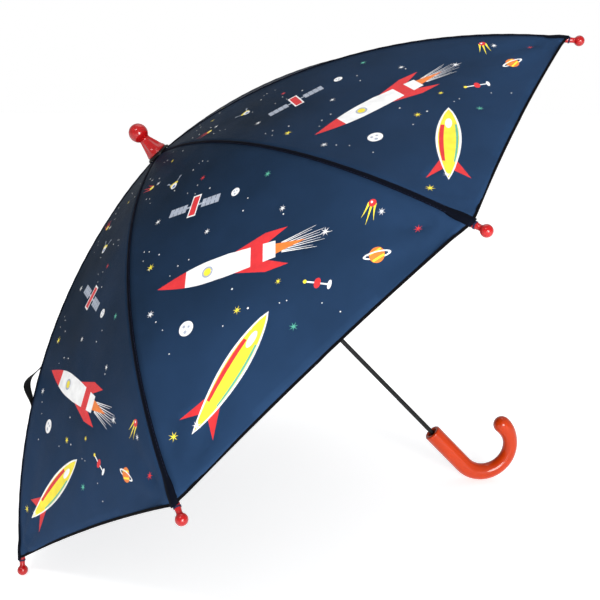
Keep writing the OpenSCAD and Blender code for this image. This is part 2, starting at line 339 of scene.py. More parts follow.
# ---------------------------------------------------------------- mesh helpers
def new_object(name, points, faces, materials, face_slots=None, smooth=True):
    mesh = bpy.data.meshes.new(name)
    mesh.from_pydata([tuple(p) for p in points], [], faces)
    for m in materials:
        mesh.materials.append(m)
    if face_slots:
        mesh.polygons.foreach_set("material_index", face_slots)
    mesh.polygons.foreach_set("use_smooth", [smooth] * len(faces))
    mesh.update()
    obj = bpy.data.objects.new(name, mesh)
    bpy.context.collection.objects.link(obj)
    return obj


def set_uv(obj, coordinates):
    """Gives the mesh the cloth's flat coordinates, in metres, one pair for each vertex."""
    layer = obj.data.uv_layers.new(name="cloth")
    for loop in obj.data.loops:
        layer.data[loop.index].uv = coordinates[loop.vertex_index]


def grid_faces(rows, columns, closed=False, first=0):
    """Quads between rows of points; closed joins the last column to the first."""
    wrap = columns if closed else columns - 1
    return [(first + j * columns + c, first + j * columns + (c + 1) % columns,
             first + (j + 1) * columns + (c + 1) % columns, first + (j + 1) * columns + c)
            for j in range(rows - 1) for c in range(wrap)]


def sweep(name, stations, sides, mat, shape=None):
    """A closed tube through rings. A station is (matrix, radius), its ring in the matrix's xy plane."""
    points = []
    for place, radius in stations:
        for k in range(sides):
            w = 2 * math.pi * k / sides
            r = radius * (shape(w, place.translation.z) if shape else 1)
            points.append(place @ Vector((r * math.cos(w), r * math.sin(w), 0)))
    faces = grid_faces(len(stations), sides, closed=True)
    last = (len(stations) - 1) * sides
    first_cap = len(points)
    last_cap = first_cap + 1
    points += [stations[0][0].translation, stations[-1][0].translation]
    faces += [(first_cap, (k + 1) % sides, k) for k in range(sides)]
    faces += [(last_cap, last + k, last + (k + 1) % sides) for k in range(sides)]
    return new_object(name, points, faces, [mat])


def lathe(name, profile, place, mat, sides, shape=None):
    """Turns a profile of (radius, height) about the z axis of place."""
    stations = [(place @ Matrix.Translation((0, 0, z)), r) for r, z in profile]
    return sweep(name, stations, sides, mat, shape)


def arc(centre, radius, start, end, steps):
    """Points (radius, height) along a circular arc, angles in degrees from the radial axis."""
    angles = [math.radians(start + (end - start) * k / steps) for k in range(steps + 1)]
    return [(centre[0] + radius * math.cos(a), centre[1] + radius * math.sin(a)) for a in angles]


def ball_profile(centre, radius, start, steps):
    """A ball's profile on the axis, from a start angle to its top."""
    return arc((0, centre), radius, start, 90, steps)[:-1] + [(NEAR_AXIS, centre + radius)]


def make_strip(name, rows, columns, corner, mat):
    """A closed strip in two layers. corner gives a point and its flat place from layer, share and column."""
    points, flat = [], []
    for upper in (True, False):
        for j in range(rows + 1):
            for c in range(columns + 1):
                point, place_on_cloth = corner(upper, j / rows, c)
                points.append(point)
                flat.append(place_on_cloth)
    width = columns + 1
    size = (rows + 1) * width
    rim = list(range(width)) + [j * width + columns for j in range(1, rows + 1)]
    rim += [rows * width + c for c in range(columns - 1, -1, -1)]
    rim += [j * width for j in range(rows - 1, 0, -1)]
    faces = [tuple(reversed(f)) for f in grid_faces(rows + 1, width)]
    faces += grid_faces(rows + 1, width, first=size)
    faces += [(rim[k - 1], rim[k], rim[k] + size, rim[k - 1] + size) for k in range(len(rim))]
    obj = new_object(name, points, faces, [mat])
    set_uv(obj, flat)
    return obj


# ---------------------------------------------------------------- the printed motifs
# Each motif is a list of (ink, outline) in millimetres round its own centre.
def disc(x, y, rx, ry=None, steps=28, turn=0.0):
    ry = ry or rx
    cos, sin = math.cos(turn), math.sin(turn)
    angles = [2 * math.pi * k / steps for k in range(steps)]
    ring = [(rx * math.cos(a), ry * math.sin(a)) for a in angles]
    return [(x + a * cos - b * sin, y + a * sin + b * cos) for a, b in ring]


def box(x, y, half_x, half_y):
    return [(x + a * half_x, y + b * half_y) for a, b in SQUARE]


def mirrored(outline):
    return [(-x, y) for x, y in outline]


def star(outer, turn, points=7, inner=0.24):
    """A star of fine rays round its own centre."""
    out = []
    for k in range(2 * points):
        r = outer if k % 2 == 0 else outer * inner
        w = turn + math.pi * k / points
        out.append((r * math.sin(w), r * math.cos(w)))
    return out


def band(points, widths):
    """An outline round a line of points whose half width changes along it."""
    left, right = [], []
    for k, (x, y) in enumerate(points):
        x0, y0 = points[max(0, k - 1)]
        x1, y1 = points[min(len(points) - 1, k + 1)]
        d = math.hypot(x1 - x0, y1 - y0)
        nx, ny = -(y1 - y0) / d, (x1 - x0) / d
        left.append((x + nx * widths[k], y + ny * widths[k]))
        right.append((x - nx * widths[k], y - ny * widths[k]))
    return left + right[::-1]


def curve_points(start, bend, end, steps):
    """Points along a quadratic curve."""
    return [tuple((1 - t) ** 2 * a + 2 * t * (1 - t) * b + t * t * c for a, b, c in zip(start, bend, end))
            for t in (k / steps for k in range(steps + 1))]


def hull_outline(length, width, nose=0.45, steps=9):
    """A spacecraft's body along +y: a flat tail, full sides and a pointed nose."""
    right = [(width * 0.36, -length / 2), (width / 2, -length * 0.12)]
    shares = [k / steps for k in range(steps)]
    right += [(width / 2 * (1 - t ** 1.7), length * (0.5 - nose + nose * t)) for t in shares]
    return right + [(0, length / 2)] + mirrored(reversed(right))


def rocket(length):
    """A slim rocket with two swept fins, a pointed red nose, a red band and a round window."""
    w = length * 0.19
    fin = [(w * 0.30, -length * 0.05), (w * 0.86, -length * 0.42), (w * 0.80, -length * 0.60),
           (w * 0.34, -length * 0.42)]
    hull = hull_outline(length, w)
    return [
        ("red", fin),
        ("red", mirrored(reversed(fin))),
        ("orange", [(w * 0.22, -length * 0.5), (0, -length * 0.74), (-w * 0.22, -length * 0.5)]),
        ("white", hull),
        ("red", [(x, y) for x, y in hull if y > length * 0.22]),
        ("red", [(-w * 0.44, -length * 0.30), (w * 0.44, -length * 0.30), (w * 0.40, -length * 0.40),
                 (-w * 0.40, -length * 0.40)]),
        ("grey", disc(0, length * 0.06, w * 0.25)),
        ("yellow", disc(0, length * 0.06, w * 0.17)),
    ]


def exhaust():
    """Nine fine lines that fan out behind the rocket."""
    lines = []
    for k in range(9):
        side = (k - 4) * 2.3
        reach = 46 - 3.5 * abs(k - 4) - 7 * (k % 2)
        lines.append(("white", band([(side * 0.5, 0), (side * 1.1, -reach)], [0.5, 0.12])))
    return lines


def shuttle(length):
    """A slim craft that tapers to both ends, with a stripe on each flank and two tail fins."""
    w, steps = length * 0.2, 16
    shares = [k / steps for k in range(1, steps)]
    side = [(w / 2 * math.sin(math.pi * t ** 1.2) ** 0.75, length * (t - 0.5)) for t in shares]
    outline = [(0, -length / 2)] + side + [(0, length / 2)] + mirrored(reversed(side))
    flank = side[3:12]
    fin = [(w * 0.28, -length * 0.22), (w * 0.82, -length * 0.46), (w * 0.2, -length * 0.36)]
    return [
        ("red", fin),
        ("red", mirrored(fin)),
        ("white", outline),
        ("yellow", [(x * 0.82, y * 0.95) for x, y in outline]),
        ("red", [(x * 0.74, y) for x, y in flank] + [(x * 0.38, y) for x, y in reversed(flank)]),
        ("green", [(-x * 0.76, y) for x, y in flank] + [(-x * 0.58, y) for x, y in reversed(flank)]),
        ("white", disc(0, length * 0.27, w * 0.14, w * 0.34)),
    ]


def satellite(size):
    """A small body between two long solar panels."""
    parts = [("grey", box(0, 0, size, size * 0.04))]
    parts += [("grey", box(side * size * (0.42 + 0.19 * k), 0, size * 0.085, size * 0.17))
              for side in (-1, 1) for k in range(4)]
    parts.append(("white", box(0, 0, size * 0.18, size * 0.46)))
    parts.append(("red", box(0, 0, size * 0.13, size * 0.40)))
    return parts


def moon(size):
    """A pale moon with three craters."""
    parts = [("white", disc(0, 0, size))]
    parts += [("grey", disc(x * size, y * size, r * size, steps=14))
              for x, y, r in ((-0.35, 0.3, 0.24), (0.38, 0.05, 0.18), (-0.1, -0.45, 0.2))]
    return parts


def pod(size):
    """A landing pod on three splayed legs."""
    parts = [("grey", band([(side * size * 0.25, -size * 0.2), (side * size * 0.75, -size * 0.85)],
                           [size * 0.05] * 2)) for side in (-1, 1)]
    parts += [("grey", disc(side * size * 0.78, -size * 0.9, size * 0.16, size * 0.07)) for side in (-1, 1)]
    parts.append(("yellow", disc(0, -size * 0.18, size * 0.52, size * 0.26)))
    parts.append(("white", disc(0, size * 0.16, size * 0.38, size * 0.42)))
    parts.append(("blue", disc(0, size * 0.22, size * 0.18)))
    return parts


def comet(size, head, tail):
    """A round head with a white glint, and three tapering tails."""
    parts, steps = [], 8
    for spread, length in ((-0.22, 1.7), (0.0, 2.3), (0.22, 1.7)):
        reach = size * length
        line = curve_points((spread * size * 1.6, 0), (spread * size * 2, reach * 0.5),
                            (spread * size * 3.2, reach), steps)
        parts.append((tail, band(line, [size * 0.15 * (1 - j / 8.5) for j in range(steps + 1)])))
    parts.append((head, disc(0, 0, size * 0.42)))
    parts.append(("white", disc(-size * 0.1, -size * 0.08, size * 0.13)))
    return parts


def planet(size):
    """A banded planet with a tilted ring that passes behind it and in front of it."""
    outer, inner, tilt, steps = (1.55, 0.42), (1.25, 0.27), 0.35, 20
    parts = [("white", disc(0, 0, size * outer[0], size * outer[1], 40, tilt)),
             ("cloth", disc(0, 0, size * inner[0], size * inner[1], 40, tilt)),
             ("orange", disc(0, 0, size * 0.86, steps=40))]
    for y, height in ((0.38, 0.11), (-0.42, 0.09)):
        reach = math.sqrt(0.86 ** 2 - (abs(y) + height) ** 2) * size * 0.97
        parts.append(("yellow", box(0, y * size, reach, height * size)))
    turns = [math.pi + math.pi * k / steps for k in range(steps + 1)]
    front = [(size * outer[0] * math.cos(w), size * outer[1] * math.sin(w)) for w in turns]
    front += [(size * inner[0] * math.cos(w), size * inner[1] * math.sin(w)) for w in reversed(turns)]
    cos, sin = math.cos(tilt), math.sin(tilt)
    parts.append(("white", [(x * cos - y * sin, x * sin + y * cos) for x, y in front]))
    return parts


def probe(size):
    """A thin mast with a body, a dish and a lamp on it."""
    return [
        ("white", band([(0, -size * 0.9), (0, size * 0.9)], [size * 0.05] * 2)),
        ("red", disc(0, 0, size * 0.34, size * 0.22)),
        ("white", disc(0, size * 0.82, size * 0.3, size * 0.13)),
        ("yellow", disc(0, -size * 0.86, size * 0.13)),
    ]


def place(parts, lateral, s, turn=0.0):
    """Motif parts moved to a place on the panel, in metres, turned anticlockwise in degrees."""
    cos, sin = math.cos(math.radians(turn)), math.sin(math.radians(turn))
    return [(ink, [((lateral + x * cos - y * sin) * MM, (s + x * sin + y * cos) * MM) for x, y in outline])
            for ink, outline in parts]


def print_layout():
    """The panel's print: (ink, outline in metres) from the lowest to the topmost."""
    # A place is the distance from the panel's middle and from the hub, in millimetres, and the turn.
    layout = place(exhaust(), 36, 331.5, 123)
    layout += place(rocket(118), -18, 296, 123)
    layout += place(shuttle(112), -58, 389, -109)
    layout += place(satellite(28), 2, 206, 42)
    layout += place(pod(10), -2, 143, 20)
    layout += place(moon(4.5), 38, 238)
    layout += place(moon(7), -66, 324)
    layout += place(probe(13), 38, 384, -35)
    layout += place(planet(7.5), 86, 404, 15)
    layout += place(comet(7, "yellow", "red"), -22, 104, 150)
    layout += place(comet(8, "red", "yellow"), 112, 366, 60)
    stars = ((69, 253, 4.0, "green"), (-3, 251, 3.5, "white"), (-62, 232, 4.5, "yellow"),
             (-34, 180, 4.0, "white"), (70, 352, 4.5, "white"), (-24, 348, 4.0, "yellow"),
             (2, 398, 4.0, "green"), (-104, 404, 4.0, "white"), (-124, 396, 4.5, "yellow"),
             (122, 412, 4.0, "red"), (24, 178, 3.5, "red"), (-14, 108, 3.5, "white"),
             (10, 84, 3.0, "yellow"), (58, 300, 3.5, "white"), (-84, 282, 4.0, "white"),
             (112, 378, 3.5, "white"), (16, 356, 3.0, "yellow"), (-36, 282, 3.5, "white"))
    for lateral, s, size, ink in stars:
        layout += place([(ink, star(size, lateral * 0.1))], lateral, s)
    dots = [(random.uniform(-0.88, 0.88), random.uniform(40, 420)) for _ in range(46)]
    for share, s in dots:
        dot = disc(0, 0, random.uniform(0.5, 0.9), steps=7)
        layout += place([("white", dot)], share * (half_width(s * MM) / MM - 6), s)
    return layout


# ---------------------------------------------------------------- the canopy's flat mesh
# The cut stops short of the ribs' middle lines, and the print keeps off the seams and the hem.
CUT_GAP = 0.05 * MM
PRINT_SIDE_MARGIN = 4.5 * MM
PRINT_HEM_MARGIN = 4 * MM


def signed_area(ring):
    """The area inside a ring, below zero when it runs clockwise."""
    return sum(x0 * y1 - x1 * y0 for (x0, y0), (x1, y1) in zip(ring, ring[1:] + ring[:1])) / 2


def panel_pattern():
    """Triangulates the panel's flat cut with its print: points, triangles, and each triangle's ink."""
    spacing = 0.0075
    span = HEM_DISTANCE - CLOTH_START
    rows = int(span / spacing)

    def cut_half(s):
        return half_width(s) - CUT_GAP

    def edge_point(side, t):
        s = CLOTH_START + span * t
        return side * cut_half(s), s

    def printable(x, s):
        return abs(x) < half_width(s) - PRINT_SIDE_MARGIN and s < hem(x) - PRINT_HEM_MARGIN

    outline = [edge_point(1, j / rows) for j in range(rows + 1)]
    top = cut_half(HEM_DISTANCE)
    columns = int(2 * top / spacing)
    hem_places = [top * (1 - 2 * c / columns) for c in range(1, columns)]
    outline += [(x, hem(x)) for x in hem_places]
    outline += [edge_point(-1, 1 - j / rows) for j in range(rows + 1)]
    points = list(outline)
    boundary = [list(range(len(outline)))]
    for j in range(1, rows):
        s = CLOTH_START + span * j / rows
        across = max(2, int(2 * half_width(s) / spacing))
        for c in range(1, across):
            x = (2 * c / across - 1) * cut_half(s)
            if s < hem(x) - 0.4 * spacing:
                points.append((x, s))
    inks = ["cloth"]
    for ink, ring in print_layout():
        if all(printable(x, s) for x, s in ring):
            if signed_area(ring) < 0:
                ring = ring[::-1]
            boundary.append(list(range(len(points), len(points) + len(ring))))
            points += ring
            inks.append(ink)
    same_point, no_area = 1e-7, 1e-13
    verts, _, faces, _, _, owners = delaunay_2d_cdt([Vector(p) for p in points], [], boundary, 1, same_point)
    triangles, face_inks = [], []
    for face, owner in zip(faces, owners):
        a, b, c = (verts[k] for k in face)
        area = (b - a).cross(c - a)
        if abs(area) < no_area:
            continue
        triangles.append(tuple(face) if area > 0 else tuple(reversed(face)))
        face_inks.append(inks[max(owner)] if owner else "cloth")
    return [(v.x, v.y) for v in verts], triangles, face_inks


def rim_edges(triangles):
    """The edges that only one triangle uses, in its own direction."""
    edges = [(a, b) for p, q, r in triangles for a, b in ((p, q), (q, r), (r, p))]
    seen = set(edges)
    return [(a, b) for a, b in edges if (b, a) not in seen]


PATTERN = panel_pattern()
PANEL_SLOTS = ["cloth"] + list(INKS) + ["lining"]
PANEL_MATERIALS = [CLOTH] + list(INKS.values()) + [LINING]


def fold_with_panel(obj, i):
    """Rides the panel's body, with a mesh of its own."""
    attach(obj, f"panel_{i}")
    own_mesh(obj)


def make_panel(i):
    """One gore: the printed cloth and its inside as one closed mesh in two layers."""
    flat, triangles, face_inks = PATTERN
    lifts = [relief(x, s) for x, s in flat]
    upper = [canopy_point(i, x, s, CLOTH_HIGH + h) for (x, s), h in zip(flat, lifts)]
    lower = [canopy_point(i, x, s, CLOTH_LOW + h) for (x, s), h in zip(flat, lifts)]
    n = len(flat)
    # In the flat cut, x runs to the left when seen from above with s outwards.
    faces = [tuple(reversed(t)) for t in triangles] + [tuple(k + n for k in t) for t in triangles]
    lining = len(PANEL_SLOTS) - 1
    slots = [PANEL_SLOTS.index(ink) for ink in face_inks] + [lining] * len(triangles)
    for a, b in rim_edges(triangles):
        faces.append((a, b, b + n, a + n))
        slots.append(lining)
    obj = new_object(f"canopy_panel_{i}", upper + lower, faces, PANEL_MATERIALS, slots)
    set_uv(obj, flat + flat)
    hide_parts(f"panel_{i}")
    return obj


def make_hem(i):
    """The narrow black binding folded round the hem of a panel."""
    columns = 60
    width, reach, fold = 1.9 * MM, 0.5 * MM, 0.35 * MM
    top = half_width(HEM_DISTANCE) - 0.3 * MM
    points, uvs = [], []
    for c in range(columns + 1):
        x = top * (1 - 2 * c / columns)
        s = hem(x)
        lift = relief(x, s)
        profile = [(s - width, CLOTH_HIGH + 0.08 * MM), (s - width * 0.9, CLOTH_HIGH + fold),
                   (s + reach * 0.6, CLOTH_HIGH + fold), (s + reach, (CLOTH_HIGH + CLOTH_LOW) / 2),
                   (s + reach * 0.6, CLOTH_LOW - fold), (s - width * 0.9, CLOTH_LOW - fold),
                   (s - width, CLOTH_LOW - 0.08 * MM)]
        for along, height in profile:
            points.append(canopy_point(i, x, along, height + lift))
            uvs.append((x, along))
    sides = len(profile)
    faces = grid_faces(columns + 1, sides, closed=True)
    faces += [tuple(reversed(range(sides))), tuple(columns * sides + k for k in range(sides))]
    obj = new_object(f"hem_binding_{i}", points, faces, [BINDING], smooth=False)
    set_uv(obj, uvs)
    return obj


# A seam starts a little late and runs on past the hem. Its section is (share of the half width, lift in mm).
SEAM_MARGIN = 1.5 * MM
SEAM_SECTION = ((-1.0, 0.02), (-0.93, 0.42), (-0.5, 0.45), (-0.12, 0.62),
                (0.12, 0.62), (0.5, 0.45), (0.93, 0.42), (1.0, 0.02))


def seam_half(s):
    """Half the width of a seam, which widens towards the tips and ends in a pocket. The seam's near-black
    cloth paints the shade along the rib, and the widened pocket is painted shade at the tip.
    """
    # Painted shade: the pocket widens the near-black seam at the tip, where there is shade.
    pocket = smooth_step((s - 0.415) / 0.016)
    return (1.8 + 1.3 * (s / HEM_DISTANCE) ** 3 + 1.5 * pocket) * MM


def seam_point(i, offset, s, height):
    """A point over rib i, offset to one side on the panel next to it."""
    azimuth = rib_azimuth(i)
    r = rib_radius(s, height) - abs(offset) * math.tan(HALF_STEP)
    return Vector((r * math.cos(azimuth) - offset * math.sin(azimuth),
                   r * math.sin(azimuth) + offset * math.cos(azimuth), rib_z(s, height)))


def make_seam(i):
    """The felled seam that covers the join of two panels over a rib, in near-black cloth that paints the
    shade along the rib.
    """
    start, end = CLOTH_START + SEAM_MARGIN, HEM_DISTANCE + SEAM_MARGIN

    def corner(upper, t, c):
        s = start + (end - start) * t
        share, lift = SEAM_SECTION[c]
        offset = share * min(seam_half(s), 0.8 * half_width(s))
        pucker = 0.1 * math.sin(s * 900 + 2 * share + i) * (1 - abs(share)) ** 0.5
        rise = lift + pucker if upper else -0.05
        return seam_point(i, offset, s, CLOTH_HIGH + rise * MM + tip_lift(s, abs(offset))), (offset, s)

    obj = make_strip(f"seam_{i}", 90, len(SEAM_SECTION) - 1, corner, SEAM_PAINTED_SHADE)
    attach(obj, f"rib_{i}")


def make_seam_lining(i):
    """The seam's wide allowance under the panels, which also closes the gap when they fold."""
    start, end, columns, half_most = 0.006, 0.300, 5, 7.4 * MM

    def corner(upper, t, c):
        s = start + (end - start) * t
        half = min(half_most * min(1, (1 - t) / 0.12 + 0.25), 0.82 * half_width(s))
        offset = (2 * c / columns - 1) * half
        return seam_point(i, offset, s, CLOTH_LOW - (0.30 if upper else 0.48) * MM), (offset, s)

    obj = make_strip(f"seam_allowance_{i}", 60, columns, corner, LINING)
    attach(obj, f"rib_{i}")


def make_stitches(i):
    """Two rows of thread stitches along a seam, as one mesh."""
    pitch, length, half_thread = 3.4 * MM, 2.2 * MM, 0.15 * MM
    start, end_gap = 0.016, 0.034
    bow = ((0, 0.02), (0.25, 0.16), (0.75, 0.16), (1, 0.02))
    points, faces = [], []
    for row in (-1, 1):
        for k in range(int((HEM_DISTANCE - end_gap) / pitch)):
            s = start + k * pitch
            line = row * seam_half(s) * 0.72
            first = len(points)
            for share, thick in bow:
                for side, up in ((-half_thread, 0), (0, 1), (half_thread, 0)):
                    points.append(seam_point(i, line + side, s + share * length,
                                             CLOTH_HIGH + (0.40 + thick * up) * MM))
            for a in range(first, first + 9, 3):
                faces += [(a, a + 3, a + 4, a + 1), (a + 1, a + 4, a + 5, a + 2), (a, a + 2, a + 5, a + 3)]
            faces += [(first, first + 1, first + 2), (first + 9, first + 11, first + 10)]
    obj = new_object(f"seam_stitches_{i}", points, faces, [THREAD])
    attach(obj, f"rib_{i}")


# ---------------------------------------------------------------- tips, ferrule and hub
def tip_place(i):
    """The frame at a rib's end, with z along the rib."""
    azimuth = rib_azimuth(i)
    out = Vector((math.cos(azimuth), math.sin(azimuth), 0))
    forward = out * math.cos(SLOPE_END) - Vector((0, 0, math.sin(SLOPE_END)))
    side = Vector((-math.sin(azimuth), math.cos(azimuth), 0))
    m = Matrix((side, forward.cross(side), forward)).transposed().to_4x4()
    m.translation = out * rib_radius(RIB_LENGTH) + Vector((0, 0, rib_z(RIB_LENGTH)))
    return m


def make_tip(i):
    """A moulded tip: a neck with a raised ring at its mouth, and a ball."""
    profile = [(1.75 * MM, -7.2 * MM), (1.75 * MM, -8 * MM), (2.6 * MM, -8 * MM)]
    profile += arc((2.6 * MM, -7.6 * MM), 0.4 * MM, -90, 0, 4)[1:]
    profile += [(3.0 * MM, -5.2 * MM), (2.7 * MM, -4.9 * MM), (2.7 * MM, -3.2 * MM), (3.0 * MM, -2.9 * MM)]
    profile += [(2.95 * MM, 2 * MM), (2.6 * MM, 5.0 * MM), (2.45 * MM, 7.0 * MM)]
    profile += ball_profile(TIP_REACH, TIP_BALL, -58, 22)
    obj = lathe(f"rib_tip_{i}", profile, tip_place(i), RED_PLASTIC, 48)
    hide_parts(f"tip_{i}")
    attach(obj, f"rib_{i}")


def make_thread_loop(i):
    """The loops of thread that hold the canopy's corner to a tip's neck."""
    base = tip_place(i)
    turns, sides, steps = 3, 6, 40
    neck, wire, pitch, first_height = 3.0 * MM, 0.28 * MM, 0.5 * MM, 2.6 * MM
    points, faces = [], []
    for turn in range(turns):
        first = len(points)
        for k in range(steps):
            w = 2 * math.pi * k / steps
            out = Vector((math.cos(w), math.sin(w), 0))
            centre = out * neck + Vector((0, 0, first_height + pitch * turn + 0.1 * MM * math.sin(w)))
            for v in range(sides):
                a = 2 * math.pi * v / sides
                section = out * wire * math.cos(a) + Vector((0, 0, wire * math.sin(a)))
                points.append(base @ (centre + section))
        for k in range(steps):
            here, ahead = first + k * sides, first + (k + 1) % steps * sides
            for v in range(sides):
                after = (v + 1) % sides
                faces.append((here + v, ahead + v, ahead + after, here + after))
    obj = new_object(f"tip_thread_{i}", points, faces, [THREAD])
    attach(obj, f"rib_{i}")


def make_ferrule():
    """A flared cap with eight shallow flutes round its neck and a ball on top."""
    low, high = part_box("ferrule")
    ball, fade = 10.35 * MM, 3 * MM
    foot = low[2]
    centre = high[2] - ball
    neck = centre - foot

    def flutes(w, z):
        inside = clamp((z - foot - fade) / fade) * clamp((centre - 9 * MM - z) / fade)
        return 1 - 0.13 * inside * (0.5 + 0.5 * math.cos(8 * w)) ** 0.6

    profile = [(3 * MM, 0), (11.2 * MM, 0)] + arc((11.2 * MM, 0.8 * MM), 0.8 * MM, -90, 0, 4)[1:]
    profile += [(11.9 * MM, 1.6 * MM), (11.4 * MM, 3.4 * MM), (10.6 * MM, 5.8 * MM), (9.7 * MM, 8.6 * MM),
                (8.7 * MM, 11.6 * MM), (7.7 * MM, 14.6 * MM), (6.8 * MM, 17.2 * MM),
                (6.2 * MM, neck - 9.2 * MM)]
    profile += ball_profile(neck, ball, -53, 40)
    obj = lathe("ferrule_cap", profile, Matrix.Translation((0, 0, foot)), RED_PLASTIC, 120, flutes)
    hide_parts("ferrule")
    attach(obj, "shaft")


def make_crown_washer():
    """The black cap over the cloth at the crown, a ring with a recess in its underside."""
    low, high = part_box("crown_washer")
    height = high[2] - low[2]
    outer = high[0] - 0.4 * MM
    recess = (12.6 * MM, 1.4 * MM)
    profile = [recess, (recess[0], 0), (outer - 0.4 * MM, 0)]
    profile += arc((outer - 0.4 * MM, 0.4 * MM), 0.4 * MM, -90, 0, 4)[1:]
    profile += arc((outer - 0.8 * MM, 1.2 * MM), 0.8 * MM, 0, 60, 6)
    profile += [(12.9 * MM, height - 0.7 * MM), (12.3 * MM, height - 0.2 * MM), (11.6 * MM, height),
                (2.8 * MM, height), (2.8 * MM, recess[1]), recess]
    obj = lathe("crown_cap", profile, Matrix.Translation((0, 0, low[2])), BLACK_PLASTIC, 96)
    close_ring(obj)
    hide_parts("crown_washer")
    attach(obj, "shaft")


def close_ring(obj):
    """Takes the two end caps off a lathed ring and joins its first and last rings."""
    bm = bmesh.new()
    bm.from_mesh(obj.data)
    bm.verts.ensure_lookup_table()
    bmesh.ops.delete(bm, geom=bm.verts[-2:], context="VERTS")
    bmesh.ops.remove_doubles(bm, verts=bm.verts, dist=1e-6)
    bm.to_mesh(obj.data)
    bm.free()
    obj.data.polygons.foreach_set("use_smooth", [True] * len(obj.data.polygons))


# ---------------------------------------------------------------- the handle
def make_handle():
    """The grip with its mouth, swept into the hook with a rounded bulb at its end."""
    top, grip = HANDLE_HIGH[2], -HANDLE_LOW[0]
    bottom = -top
    turn_end, thinnest = math.radians(186), math.radians(140)
    waist = 1.7 * MM

    def section(turn):
        narrow = smooth_step(turn / thinnest)
        swell = smooth_step((turn - thinnest) / (turn_end - thinnest))
        return grip - waist * narrow + waist * swell

    def at(x, z, turn):
        across = Vector((math.cos(turn), 0, math.sin(turn)))
        forward = Vector((math.sin(turn), 0, -math.cos(turn)))
        m = Matrix((across, forward.cross(across), forward)).transposed().to_4x4()
        m.translation = Vector((x, 0, z))
        return m

    def on_hook(turn, ahead=0.0):
        return at(HOOK_RADIUS * (1 - math.cos(turn)) + ahead * math.sin(turn),
                  bottom - HOOK_RADIUS * math.sin(turn) - ahead * math.cos(turn), turn)

    mouth = ((4.5, 2.75), (4.5, 6.2), (4.2, 6.5), (0.5, 6.5), (0.15, 6.7), (0, 7.2))
    stations = [(at(0, top - depth * MM, 0), radius * MM) for depth, radius in mouth]
    edge = 2 * MM
    stations += [(at(0, top - edge + edge * math.cos(a), 0), grip - edge + edge * math.sin(a))
                 for a in (math.pi / 2 * k / 8 for k in range(9))]
    stations += [(at(0, top - edge + (bottom - top + edge) * k / 16, 0), grip) for k in range(1, 17)]
    turns = [turn_end * k / 96 for k in range(1, 97)]
    stations += [(on_hook(turn), section(turn)) for turn in turns]
    bulb = section(turn_end)
    stations += [(on_hook(turn_end, bulb * math.sin(a)), bulb * math.cos(a))
                 for a in (math.radians(89.5) * k / 14 for k in range(1, 15))]

    def parting(w, z):
        return 1 + 0.010 * math.exp(-(math.sin(w) / 0.05) ** 2)

    obj = sweep("handle_moulding", stations, 96, HANDLE_PLASTIC, parting)
    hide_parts("handle")
    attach(obj, "shaft")


# ---------------------------------------------------------------- the closure strap
STRAP_START = CURVE * (math.radians(28.0) - SLOPE_HUB)
STRAP_RUN = CURVE * math.radians(4.5)


def strap_point(across, along, height):
    """A point over panel 4: across the strap from 0 to 1, and along it from 0 to 1 or on to its patch."""
    s = STRAP_START + STRAP_RUN * along
    share = 0.90 + 0.07 * across
    return canopy_point(4, (2 * share - 1) * half_width(s), s, height)


def make_strap():
    """A webbing strap sewn down at both ends with a loop that stands off between them."""
    columns, thick, stand_off, lean = 8, 1.1 * MM, 10 * MM, 5 * MM

    def corner(upper, t, c):
        across = c / columns
        rise = (stand_off + lean * (across - 0.5)) * math.sin(math.pi * t) ** 2
        full = 1 - abs(2 * across - 1) ** 6 * 0.5
        height = CLOTH_HIGH + 0.1 * MM + rise + thick * (full if upper else 1 - full)
        return strap_point(across, t, height), (0.014 * across, 0.046 * t)

    obj = make_strip("strap_loop", 60, columns, corner, WEBBING)
    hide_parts("closure_strap")
    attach(obj, "rib_5")


def make_patch():
    """The strap's patch of loop fastener, with a low rim and a nap of short loops."""
    columns, nap_height, rim_height, patch_height = 12, 0.25 * MM, 0.7 * MM, 1.3 * MM

    def corner(upper, t, c):
        across = c / columns
        edge = min(across, 1 - across, t * 1.4, (1 - t) * 1.4)
        nap = nap_height * random.random() if edge > 0.12 else 0.0
        rise = patch_height if edge > 0.06 else rim_height
        height = CLOTH_HIGH + 0.08 * MM + (rise + nap if upper else 0)
        return strap_point(across, 1.09 + 0.44 * t, height), (0.015 * across, 0.021 * t)

    obj = make_strip("strap_fastener_patch", 14, columns, corner, WEBBING)
    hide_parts("strap_patch")
    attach(obj, "rib_5")


# ---------------------------------------------------------------- CAD nodes that stay
def repaint(names, mat):
    """Gives carried-over CAD nodes a material and leaves their shapes alone."""
    for name in names:
        obj = frame["nodes"][name]
        obj.data.materials.clear()
        obj.data.materials.append(mat)


# ---------------------------------------------------------------- floor, lights and camera
ROOM_LEVEL = 0.48
CAMERA_PLACE = (0.0617, -0.9994, HUB_Z + 0.0243)
# The lens as a share of the sensor's width, and its shift.
LENS_SHARE = 1.48695
LENS_SHIFT = (-0.0575, -0.00433)


def floor_plane():
    """The plane that two tips' balls and the handle's hook rest on: a point on it and its normal."""
    tip = tip_place(4) @ Vector((0, 0, TIP_REACH))
    tip.y = 0
    hook = Vector((HOOK_RADIUS, 0, -HANDLE_HIGH[2]))
    # Both supports are circles seen along y, and the plane touches both from below.
    gap = hook - tip
    more = HOOK_RADIUS + HOOK_HALF - TIP_BALL
    tilt = math.atan2(gap.z, gap.x) - math.asin(more / gap.length)
    normal = Vector((-math.sin(tilt), 0, math.cos(tilt)))
    return tip - normal * TIP_BALL, normal


